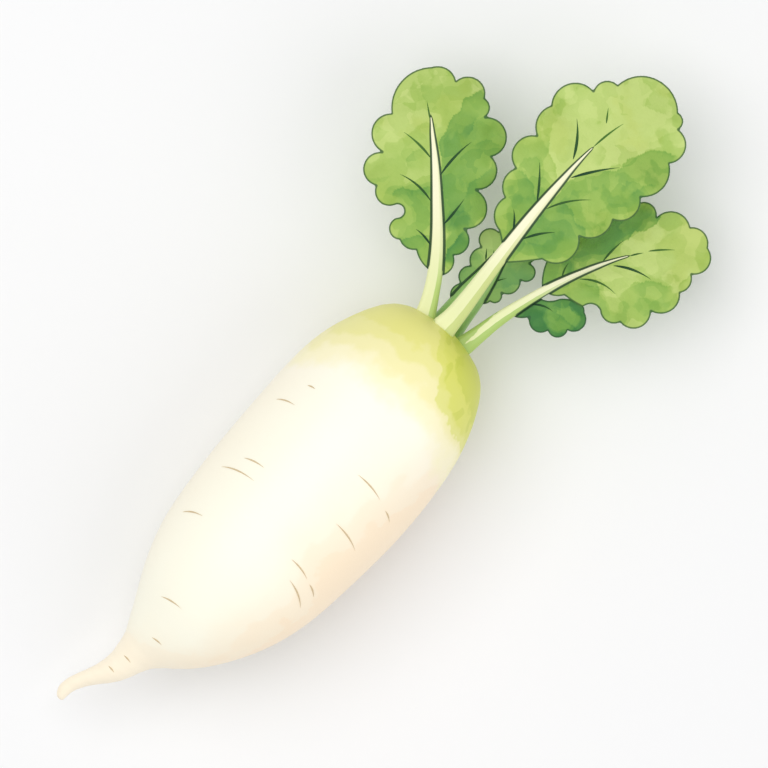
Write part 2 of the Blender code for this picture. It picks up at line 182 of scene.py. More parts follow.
class Wire:
    """A shader socket that sums can be written with: each operator adds its Math node."""

    def __init__(self, finish, socket):
        self.finish = finish
        self.socket = socket

    def sum(self, operation, *values):
        return self.finish.node("ShaderNodeMath", {"operation": operation}, dict(enumerate(values)))

    def __add__(self, other):
        return self.sum("ADD", self, other)

    def __radd__(self, other):
        return self.sum("ADD", other, self)

    def __sub__(self, other):
        return self.sum("SUBTRACT", self, other)

    def __rsub__(self, other):
        return self.sum("SUBTRACT", other, self)

    def __mul__(self, other):
        return self.sum("MULTIPLY", self, other)

    def __rmul__(self, other):
        return self.sum("MULTIPLY", other, self)

    def highest(self, other):
        return self.sum("MAXIMUM", self, other)

    def size(self):
        return self.sum("ABSOLUTE", self)

    def rising(self, low, high):
        """0 up to low, 1 from high on, and smooth between."""
        ends = {1: low, 2: high, 3: 0.0, 4: 1.0}
        return self.finish.node("ShaderNodeMapRange", {"interpolation_type": "SMOOTHSTEP"}, {0: self, **ends})


class Finish:
    """A material, whose nodes are all added by one method, and whose colours lie one over another."""

    def __init__(self, name, roughness=0.5):
        self.material = bpy.data.materials.new(name)
        self.material.use_nodes = True
        self.tree = self.material.node_tree
        self.shader = self.tree.nodes["Principled BSDF"]
        self.colour = None
        self.put("Roughness", roughness)

    def set(self, socket, value):
        if isinstance(value, Wire):
            self.tree.links.new(value.socket, socket)
        else:
            socket.default_value = value

    def put(self, name, value):
        """Sets the shader's own socket of that name."""
        self.set(self.shader.inputs[name], value)

    def node(self, kind, settings=None, sockets=None, output=0):
        made = self.tree.nodes.new(kind)
        for name, value in (settings or {}).items():
            if name == "stops":
                elements = made.color_ramp.elements
                while len(elements) < len(value):
                    elements.new(1.0)
                for element, (position, code) in zip(elements, value):
                    element.position = position
                    element.color = paint(code)
            else:
                setattr(made, name, value)
        for name, value in (sockets or {}).items():
            self.set(made.inputs[name], value)
        return Wire(self, made.outputs[output])

    def base(self, colour):
        self.colour = colour
        self.put("Base Color", colour)

    def wash(self, cover, code, blend="MIX"):
        """Lays a colour over the ones before it."""
        settings = {"data_type": "RGBA", "blend_type": blend}
        self.base(self.node("ShaderNodeMix", settings, {0: cover, 6: self.colour, 7: paint(code)}, 2))

    def layer(self, measure, layers):
        """Lays on colours that start and are full at two values of a measure."""
        for start, full, cover, code in layers:
            self.wash(measure.rising(start, full) * cover, code)

    def place(self, scale=(1.0, 1.0, 1.0)):
        """The place on the piece in metres, stretched for a pattern."""
        where = self.node("ShaderNodeTexCoord", output=3)
        return self.node("ShaderNodeMapping", {}, {"Vector": where, "Scale": scale})

    def along(self, axis):
        """How far along X, Y or Z, in millimetres."""
        where = self.node("ShaderNodeTexCoord", output=3)
        return self.node("ShaderNodeSeparateXYZ", {}, {"Vector": where}, axis) * 1000.0

    def cloud(self, size, detail=2.0, roughness=0.5, stretch=(1.0, 1.0, 1.0), distortion=0.0):
        """Noise between 0 and 1, in blots of about that size."""
        sockets = {"Scale": 1.0 / size, "Detail": detail, "Roughness": roughness, "Distortion": distortion}
        return self.node("ShaderNodeTexNoise", {}, {"Vector": self.place(stretch), **sockets})

    def attribute(self, name):
        return self.node("ShaderNodeAttribute", {"attribute_name": name}, output=2)

    def relief(self, height, depth, strength=1.0):
        sockets = {"Height": height, "Distance": depth, "Strength": strength}
        self.put("Normal", self.node("ShaderNodeBump", {}, sockets))


def finished(piece, finish, slot, *nodes):
    """Gives a piece its material and its place in the frame."""
    piece.data.materials.clear()
    piece.data.materials.append(finish.material)
    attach(piece, "root")
    if nodes:
        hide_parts(*nodes)


def root_rings():
    rows = len(ROOT_PROFILE)
    at = np.linspace(0, rows - 1, (rows - 1) * RINGS_PER_ROW + 1)
    profile = through([(row, *values) for row, values in enumerate(ROOT_PROFILE)], at)
    sway = through(ROOT_SWAY, profile[:, 0])
    return [
        (x, sideways, ROOT_AXIS_HEIGHT + upwards, radius, radius)
        for (x, radius), (sideways, upwards) in zip(profile, sway)
    ]


def points_of(piece):
    points = np.empty(len(piece.data.vertices) * 3)
    piece.data.vertices.foreach_get("co", points)
    return points.reshape(-1, 3)


def set_points(piece, points):
    piece.data.vertices.foreach_set("co", np.asarray(points).ravel())
    piece.data.update()


def skin_swell(place):
    """How far the skin swells out at a place: broad dents all over, and faint furrows round it in patches."""
    place = Vector(place)
    broad = noise.noise(place / DENT_SIZE) * DENT_DEPTH
    wander = FURROW_WANDER * noise.noise(place / FURROW_WANDER_SIZE)
    furrow = math.sin(2 * math.pi * (place.x / FURROW_SPACING + wander))
    patch = max(0.0, noise.noise(place / FURROW_PATCH_SIZE + FURROW_PATCH_SHIFT))
    tail = min(1.0, max(0.0, (TAIL_START - place.x) / TAIL_FADE))
    return broad + furrow * FURROW_DEPTH * (patch + TAIL_FURROWS * tail)


root = drawn_out("root_skin", ROOT_SIDES, root_rings())
smoothed(root, 2)
smooth_skin = points_of(root)
outward = np.array([vertex.normal[:] for vertex in root.data.vertices])
from_tip = smooth_skin[:, 0] - ROOT_PROFILE[0][0]
ease = np.minimum(smooth_skin[:, 2] / UNDERSIDE_FADE, from_tip / TIP_FADE).clip(0.0, 1.0)
swell = np.array([skin_swell(point) for point in smooth_skin]) * ease
skin_points = smooth_skin + outward * swell[:, None]
skin_points[:, 2] = skin_points[:, 2].clip(0.0)
set_points(root, skin_points)

# Each measure below grows towards the part of the skin that its layers cover, and wanders with the blots.
skin = Finish("root_skin")
x, y, z = (skin.along(axis) for axis in range(3))
broad_blots, blots, small_blots = (skin.cloud(*kind) - 0.5 for kind in SKIN_BLOTS)
skin.base(paint(SKIN_WHITE))
# Painted shade: peach over the -Y side of the root, away from the light, fading towards the crown.
painted_shade_side = broad_blots * 40 + blots * 10 - y - (x - 5).highest(0.0) * 0.3
painted_peach_shade = painted_shade_side.rising(0.0, 42.0) * 0.55 + painted_shade_side.rising(24.0, 26.5) * 0.20
skin.wash(painted_peach_shade + (painted_shade_side + small_blots * 10).rising(33.0, 35.0) * 0.20, PEACH_TINT_AND_SHADE)
# Painted shade: a faint peach near the +Y edge of the root.
skin.layer(y + blots * 10, EDGE_SHADE_LAYERS)
skin.layer(broad_blots * 50 + blots * 24 + small_blots * 10 - x - y * 0.6, TAIL_LAYERS)
low_side = (43 - z).highest(0.0)
reach = x + blots * 18 + small_blots * 5 + broad_blots * 16 + y * y * 0.003 + (y - 24).highest(0.0) * 0.45
reach = reach + (-18 - y).highest(0.0) * 0.3 - low_side * 0.20 + broad_blots * low_side * 0.8
skin.layer(reach, SHOULDER_LAYERS)
deep = x + blots * 14 + small_blots * 9 - (y * 1.25 + 81.7).highest(y * 0.4 + 67.4)
deep = deep - low_side * 0.45 + broad_blots * low_side * 0.8
skin.layer(deep, CROWN_LAYERS)
strokes = skin.cloud(0.011, 1.0, 0.4, (0.7, 1.3, 1.0), 0.6).rising(0.60, 0.63)
skin.wash(strokes * deep.rising(2.0, 8.0) * 0.5, CROWN_DEEP)
skin.put("Roughness", skin.cloud(0.010) * 0.14 + 0.36)
skin.relief(skin.cloud(0.0018, 2.0, 0.6, (3.0, 1.0, 1.0)), 0.00010, 0.5)
finished(root, skin, "root_skin", "root")


# Scars on the root
# Short tan lines that run part of the way round the root, where fine side roots broke through the skin and
# dried off. Each is a thin ridge that is half sunk in the skin.
SCAR_HALF_WIDTH = 0.00042
SCAR_HEIGHT = 0.00022
SCAR_BOW = 0.05
SCAR_TAN = "C7AC80"
SCAR_PALE = "DCCBA8"
SCARS = (  # start and end, seen from above, in millimetres
    (25.3, 32.8, 26.4, 28.7), (10.5, 39.2, 14.4, 30.6), (-20.1, 32.1, -17, 21.5),
    (-30.3, 37, -24.7, 20.9), (-58.6, 36.5, -53.3, 27.8), (-94.9, 17.2, -92.5, 6),
    (10.1, -12.9, 8, -28.9), (6, -33.8, 3.1, -39.1), (-13.8, -21, -17.6, -36),
    (-40.2, -16.6, -42.5, -28.3), (-48.2, -22.6, -54.9, -35), (-43.6, -30.6, -46.9, -36.1),
    (-112.6, 7.7, -112.2, 1.6), (-128.5, 11.9, -129.1, 6.9), (-137.4, 14, -138, 9.7),
)
HIDDEN_SCARS = 15
HIDDEN_STARTS = (-0.10, 0.04)  # along X
HIDDEN_TURNS = ((195.0, 232.0), (285.0, 325.0))  # degrees, on both sides of the patch that it rests on
HIDDEN_SPANS = (0.12, 0.40)  # in radians
HIDDEN_SLANT = 0.004
SCAR_SEED = 7
STROKE_SIDES = 8
STROKE_FULLNESS = (0.03, 0.35, 0.66, 0.88, 1.0, 0.98, 0.86, 0.66, 0.42, 0.22, 0.03)
STROKE_EVENNESS = 0.35  # how much less the height tapers than the width does


def stroke_model(name, fullness):
    """A spindle 1 long and at its fullest 1 in half width and half height, to be copied."""
    last = len(fullness) - 1
    rings = []
    for index, width in enumerate(fullness):
        rings.append((index / last, 0.0, 0.0, width, width ** STROKE_EVENNESS))
    model = drawn_out(name, STROKE_SIDES, rings)
    smoothed(model, 1)
    return model


def copied(model, points):
    """A copy of the spindle with its points elsewhere."""
    copy = model.copy()
    copy.data = model.data.copy()
    bpy.context.collection.objects.link(copy)
    set_points(copy, points)
    return copy


def joined(name, pieces):
    bpy.ops.object.select_all(action="DESELECT")
    for piece in pieces:
        piece.select_set(True)
    bpy.context.view_layer.objects.active = pieces[0]
    if len(pieces) > 1:
        bpy.ops.object.join()
    pieces[0].name = name
    turned_outwards()
    return pieces[0]


root_line = np.array(root_rings())


def on_skin(x, turn, out):
    """The point of the skin at x, that turn round from the side towards +Y, and that far out of it."""
    y, z, radius = (np.interp(x, root_line[:, 0], root_line[:, column]) for column in (1, 2, 3))
    outward = Vector((0.0, math.cos(turn), math.sin(turn)))
    point = Vector((x, y, z)) + outward * radius
    return point + outward * (skin_swell(point) + out)


def scar(model, start_x, start_turn, end_x, end_turn):
    radius = np.interp(start_x, root_line[:, 0], root_line[:, 3])
    run = Vector((end_x - start_x, (end_turn - start_turn) * radius, 0.0))
    side = run.normalized().cross(Vector((0.0, 0.0, 1.0)))
    bow = SCAR_BOW * run.length

    points = []
    for along, across, out in points_of(model):
        aside = across * SCAR_HALF_WIDTH + bow * 4 * along * (1 - along)
        turn = start_turn + (run.y * along + side.y * aside) / radius
        points.append(on_skin(start_x + run.x * along + side.x * aside, turn, out * SCAR_HEIGHT))
    return copied(model, points)


def seen_turn(x, y):
    middle, radius = (np.interp(x, root_line[:, 0], root_line[:, column]) for column in (1, 3))
    return math.acos(min(1.0, max(-1.0, (y - middle) / radius)))


scar_model = stroke_model("root_scars", STROKE_FULLNESS)
scars = []
for ends in SCARS:
    start_x, start_y, end_x, end_y = (value / 1000 for value in ends)
    scars.append(scar(scar_model, start_x, seen_turn(start_x, start_y), end_x, seen_turn(end_x, end_y)))
draws = np.random.default_rng(SCAR_SEED)
for index in range(HIDDEN_SCARS):
    start_x = draws.uniform(*HIDDEN_STARTS)
    start_turn = math.radians(draws.uniform(*HIDDEN_TURNS[index % 2]))
    span = draws.uniform(*HIDDEN_SPANS)
    end_x = start_x + draws.uniform(-HIDDEN_SLANT, HIDDEN_SLANT)
    scars.append(scar(scar_model, start_x, start_turn, end_x, start_turn + span))
bpy.data.objects.remove(scar_model)
scars = joined("root_scars", scars)

cork = Finish("root_scar_cork", roughness=0.7)
cork.base(paint(SCAR_TAN))
cork.wash(cork.cloud(0.0015), SCAR_PALE)
cork.relief(cork.cloud(0.0006), 0.0001, 0.5)
finished(scars, cork, "root_skin")


# Leaf stalks
# The fleshy stalk of each leaf and the midrib that it runs on as, which grew out of the crown. It is flat and
# a little hollow on top, ribbed and round below, pale, and narrows to the leaf's tip. Its right flank is
# painted green as shade, and a painted shade line runs along the seam where the blade meets the midrib.
STALK_SIDES = 36
STALK_RINGS = 34
STALK_FOOT = -0.0035
FOOT_FLARE = 0.10
FOOT_FLARE_LENGTH = 0.004
TIP_HEIGHT = 0.6
TIP_LENGTH = 0.006
# The section's heights over and under its widest line, and its hollow, are shares of the half width.
STALK_TOP = 0.55
STALK_BELLY = 0.80
TOP_FLATNESS = 0.6
HOLLOW_DEPTH = 0.16
HOLLOW_WIDTH = 0.6
STALK_LEAST_HEIGHT = 0.0011
STALK_RIBS = 9
RIB_DEPTH = 0.035
STALK_TOP_PALE = "F2EECD"
STALK_TOP_YELLOW = "E4E8B2"
STALK_BELLY_GREEN = "B9CC78"
# The dark green of the painted shade line in the seam where the blade meets the midrib.
PAINTED_SEAM_SHADE = "1D4A2B"
SEAM_WIDTH = 0.00060
SEAM_SHARE = 0.42  # the most of the half width that the seam takes up
SEAM_START = 0.004
# Each leaf in millimetres: its foot on the crown, its heading in degrees, its midrib as along, across and
# half width, where the midrib ends, where the crease starts on the left and on the right, and its rise.
# flank: the colour of the painted shade on the right flank, which is also the foot's own green round the pale
# wedge, where over the width the shade starts, and where along the stalk it fades.
# pale wedge: where its tip is along the stalk, and its length.
LEAVES = {
    "left": {
        "foot": (87.2, 13.7, 50),
        "heading": 40.8,
        "midrib": (
            (-6, 1.6, 6), (0, 0, 5), (6, -1.7, 4.3), (12, -3, 3.9), (18, -4.1, 3.7),
            (26, -4.8, 3.4), (38, -5.1, 3), (55, -4.4, 2.5), (74, -3.1, 1.8), (85, -1.8, 1.1),
            (95.7, -0.4, 0.2), (103, 1.7, 0.1), (122, 3, 0.1),
        ),
        "midrib_end": 95.7,
        "creases": (20.5, 18.5),
        "rise": ((0, 0), (40, 8), (75, 10), (100, 5), (122, -5)),
        "flank": ("B3CC72", 0.30, 10, 34),
        "pale_wedge": (-10, 9),
    },
    "middle": {
        "foot": (89.3, 2.8, 56),
        "heading": 0,
        "midrib": (
            (-6, 0.2, 6.3), (0, 0.2, 5.7), (6, 0, 5), (12, 0.3, 4.7), (20, 0.9, 4.3),
            (30, 1.8, 3.9), (45.5, 3.1, 3.3), (67.5, 4.6, 2.6), (87.3, 5.2, 1.7), (98, 5.3, 1),
            (111, 4.6, 0.2), (131, 0.6, 0.1), (156, 0, 0.1),
        ),
        "midrib_end": 111,
        "creases": (45.4, 39.6),
        "rise": ((0, 0), (45, 11), (90, 14), (125, 8), (156, -4)),
        "flank": ("C6D184", 0.22, 30, 70),
        "pale_wedge": (-8, 10),
    },
    "right": {
        "foot": (89.3, -10, 45),
        "heading": -25.8,
        "midrib": (
            (-6, -1.6, 5.3), (0, 0, 4.8), (6, 1.6, 4.3), (12, 3.3, 3.9), (18, 4.9, 3.5),
            (24, 6.2, 3.2), (30, 7.3, 2.9), (36, 8.3, 2.6), (43.5, 9.4, 2.4), (54, 10.5, 1.9),
            (63.8, 10.9, 1.5), (72, 10.9, 1.2), (79.2, 10.6, 0.7), (89.5, 9.5, 0.2), (112.7, 3.3, 0.1),
            (127, 1, 0.1),
        ),
        "midrib_end": 89.5,
        "creases": (43.7, 25.4),
        "rise": ((0, 0), (40, 4), (75, 4), (100, 0), (127, -9)),
        "flank": ("A9C568", 0.12, 30, 62),
        "pale_wedge": (1, 24),
    },
    "inner": {
        "foot": (89.3, 2.2, 36),
        "heading": 3.6,
        "midrib": (
            (-6, 0, 8.4), (0, 0, 8.2), (10, 0, 7.5), (20, 0, 6.9), (30, 0, 5.4),
            (45.7, 0.5, 2.6), (58, 0, 0.2), (67, 0, 0.1),
        ),
        "midrib_end": 58,
        "creases": (11.5, 19),
        "rise": ((0, 0), (30, 4), (50, 4), (67, 0)),
        "flank": ("93BD6C", -0.10, 80, 90),
        "pale_wedge": (0, 70),
    },
}


def in_metres(piece, *kinds):
    """Turns those measures of a leaf or a blade from millimetres to metres."""
    for kind in kinds:
        piece[kind] = np.array(piece[kind]) / 1000


def stalk_section(across, up):
    """Flat and slightly hollow on top, round and ribbed below."""
    if up > 0:
        hollow = HOLLOW_DEPTH * max(0.0, 1 - (across / HOLLOW_WIDTH) ** 2)
        return across, STALK_TOP * (up ** TOP_FLATNESS - hollow)
    rib = 1 + RIB_DEPTH * math.cos(STALK_RIBS * 2 * math.acos(max(-1.0, min(1.0, across))))
    return across * rib, STALK_BELLY * up * rib


def stalk_rings(leaf):
    along = np.linspace(STALK_FOOT, leaf["midrib_end"], STALK_RINGS)
    midrib, rises = through(leaf["midrib"], along), through(leaf["rise"], along)
    rings = []
    for x, (y, half_width), (rise,) in zip(along, midrib, rises):
        half_width *= 1 + FOOT_FLARE * math.exp(-(x - STALK_FOOT) / FOOT_FLARE_LENGTH)
        ending = min(1.0, TIP_HEIGHT + (1 - TIP_HEIGHT) * (leaf["midrib_end"] - x) / TIP_LENGTH)
        rings.append((x, y, rise, half_width, max(half_width, STALK_LEAST_HEIGHT) * ending))
    return rings


def set_attribute(piece, name, values):
    attribute = piece.data.attributes.new(name, "FLOAT", "POINT")
    attribute.data.foreach_set("value", np.asarray(values, np.float32))


def set_on_crown(piece, leaf):
    """Turns a piece from its leaf's frame to the leaf's heading and sets it on the crown."""
    turn = Matrix.Rotation(math.radians(leaf["heading"]), 4, "Z")
    piece.data.transform(Matrix.Translation(leaf["foot"]) @ turn)
    piece.data.update()


def rim_lines(leaf, along, across):
    """Where the painted shade line lies: 0 on the line where the blade joins the midrib's rim, 1 away from
    it.
    """
    middle, half_width = through(leaf["midrib"], along).T
    line = np.minimum(SEAM_WIDTH, SEAM_SHARE * half_width)
    off_line = np.clip((half_width - np.abs(across - middle)) / line, 0.0, 2.0) / 2
    starts = np.where(across > middle, *leaf["creases"])
    return np.maximum(off_line, 1 - np.clip((along - starts) / SEAM_START, 0.0, 1.0))


def stalk_finish(name, leaf):
    """Pale on top, with green painted shade on the right flank. Near the foot, the pale part narrows to a
    wedge.
    """
    painted_shade_and_foot_green, shade_edge, fade_start, fade_end = leaf["flank"]
    wedge_tip, wedge_length = leaf["pale_wedge"]
    finish = Finish(name, roughness=0.38)
    along, flank, belly, rim = (finish.attribute(kind) for kind in ("along", "flank", "belly", "rim"))
    streaks = finish.cloud(0.004) - 0.5
    finish.base(paint(STALK_TOP_YELLOW))
    finish.wash(along.rising(20.0, 60.0), STALK_TOP_PALE)
    # Painted shade: yellower, then green, towards the right flank, away from the light. Near the foot the
    # same green is the foot's own, round the pale wedge.
    finish.wash(flank.rising(-0.8, 0.8) * 0.25, STALK_TOP_YELLOW)
    green = (flank + streaks * 0.10 - along * 0.002).rising(shade_edge - 0.04, shade_edge + 0.04)
    finish.wash(green * (1 - along.rising(fade_start, fade_end) * 0.75), painted_shade_and_foot_green)
    wedge = (flank + 0.1).size() + streaks * 0.5 - (along - wedge_tip) * (1.1 / wedge_length)
    finish.wash(wedge.rising(-0.06, 0.06), painted_shade_and_foot_green)
    finish.wash(belly.rising(0.05, 0.5) * 0.75, STALK_BELLY_GREEN)
    # Painted shade: a dark line in the seam where the blade joins the midrib.
    finish.wash((1 - rim.rising(0.30, 0.55)) * 0.92, PAINTED_SEAM_SHADE)
    finish.relief(finish.cloud(0.0012, 2.0, 0.5, (0.12, 1.0, 1.0)), 0.00012, 0.5)
    return finish


for name, leaf in LEAVES.items():
    in_metres(leaf, "foot", "midrib", "midrib_end", "creases", "rise")
    stalk = drawn_out(f"leaf_{name}_stalk_skin", STALK_SIDES, stalk_rings(leaf), stalk_section)
    smoothed(stalk, 1)
    along, across, up = points_of(stalk).T
    (middle, half_width), (rise,) = through(leaf["midrib"], along).T, through(leaf["rise"], along).T
    set_attribute(stalk, "along", along * 1000)
    set_attribute(stalk, "flank", (middle - across) / half_width)
    set_attribute(stalk, "belly", (rise - up) / half_width)
    set_attribute(stalk, "rim", rim_lines(leaf, along, across))
    set_on_crown(stalk, leaf)
    slot = "stalk_green" if name == "inner" else "stalk_skin"
    finished(stalk, stalk_finish(f"leaf_{name}_stalk", leaf), slot, f"leaf_{name}_stalk")


# Leaf blades
# The thin lobed blades, which grew out from both sides of each midrib. Each is a fine grid cut to the lobes
# of its margin, folded up from the midrib, rippled at its edge, puckered between its veins, and thickened.
GRID_STEP = 0.0010
MARGIN_STEP = 0.0005
EVENING_ROUNDS = 4
EVENED_BAND = 3 * GRID_STEP
BLADE_THICKNESS = 0.0007
FOLD_SLOPE = 0.22
FOLD_SOFTNESS = 0.0015
MARGIN_DROOP = 5.0
RIPPLE_REACH = 0.026
RIPPLE_ONSET = 1.5
LEFT_RIPPLE_PHASE = 2.1
PUCKER_HEIGHT = 0.0007
PUCKER_REACH = 0.006
PUCKERS = ((0.009, 0.007, 3.0, 1.0), (0.004, 0.0035, 8.0, 0.4))  # length, breadth, level in the noise, share
GROOVE_DEPTH = 0.0007
GROOVE_WIDTH = 2.2
GROOVE_REACH = 0.004
RIGHT, LEFT = -1, 1
WANDER_SEED = 5
WASH_WANDER = ((9.0, 3.0), (2.6, 0.8))  # size and reach in millimetres
WASH_BASE = 0.15
EDGE_WANDER = ((5.0, 1.4), (1.5, 0.5))
EDGE_TAPER = 3.0
GATHERED = 0.30
GATHERED_WIDTH = 0.7
LEAF_TONES = (
    (0.0, "BED17A"), (0.2, "A3BF5D"), (0.4, "86AD4B"), (0.6, "6A9B42"), (0.8, "528B3E"), (1.0, "387836"),
)
LEAF_YELLOW = "FAF2C4"
LEAF_COOL = "8CC48F"
INNER_COOLNESS = 0.25
PATCH_SIZE = 0.018
PATCH_CONTRAST = 0.36
DROP_SIZE = 0.0065
GRAIN_SIZE = 0.0011
FACET_SIZE = 0.0085
FACET_CONTRAST = 0.13
FACET_STRAY = (0.008, 0.008, 0.008)
FACET_STRAY_SCALE = 120.0
WASH_STEP = 0.15
WASH_LEVELS = (0.15, 0.30, 0.45, 0.60, 0.75, 0.90)
WASH_SHARPNESS = 0.012
WASH_SHARE = 0.70  # of the tone that changes by steps, where the rest changes smoothly
CELL_SIZE = 0.0026
MARGIN_SHADE = "27552C"
CREASE_SHADE = "173C21"
UNDERSIDE = "A9C491"
CREASE_WIDTH = 1.15
CREASE_NARROWING = 0.7
CREASE_LEAST_WIDTH = 0.40
CREASE_END = 0.97  # of the midrib's length
CREASE_END_FADE = 40
VEIN_FULLNESS = (0.30, 0.66, 0.90, 1.0, 0.97, 0.86, 0.72, 0.56, 0.40, 0.22, 0.04)
VEIN_HALF_HEIGHT = 0.00070
VEIN_BREADTH = 1.5
VEIN_PALING = 0.5
VEIN_DARK = "0B3224"
VEIN_GREEN = "174428"
VEIN_PALE = "5C8A33"
